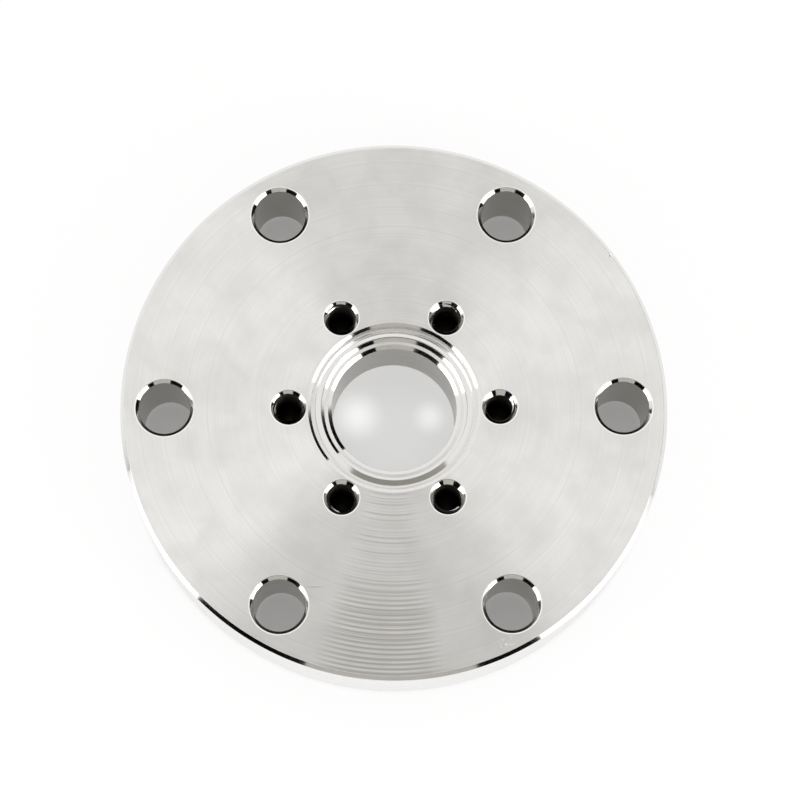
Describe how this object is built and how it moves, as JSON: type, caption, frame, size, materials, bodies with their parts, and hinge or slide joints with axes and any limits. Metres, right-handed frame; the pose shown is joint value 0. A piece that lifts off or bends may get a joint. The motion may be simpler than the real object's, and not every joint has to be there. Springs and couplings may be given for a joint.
{
  "type": "vacuum reducer flange",
  "caption": "Round one-piece vacuum reducer flange with a central bore, a knife-edge seal on each face, bolt holes near the rim and tapped holes round the smaller seal.",
  "frame": {"origin": "centre of the DN 40 sealing face, on the axis of the bore", "axes": "+Z along the bore, from the DN 40 face towards the DN 16 face; +X through the centre of a bolt hole and of a tapped hole"},
  "size_m": [0.07, 0.07, 0.0127],
  "materials": {
    "stainless_steel": "turned, with bright chamfers"
  },
  "bodies": {
    "root": {"reducer_flange": "stainless_steel"}
  },
  "joints": []
}
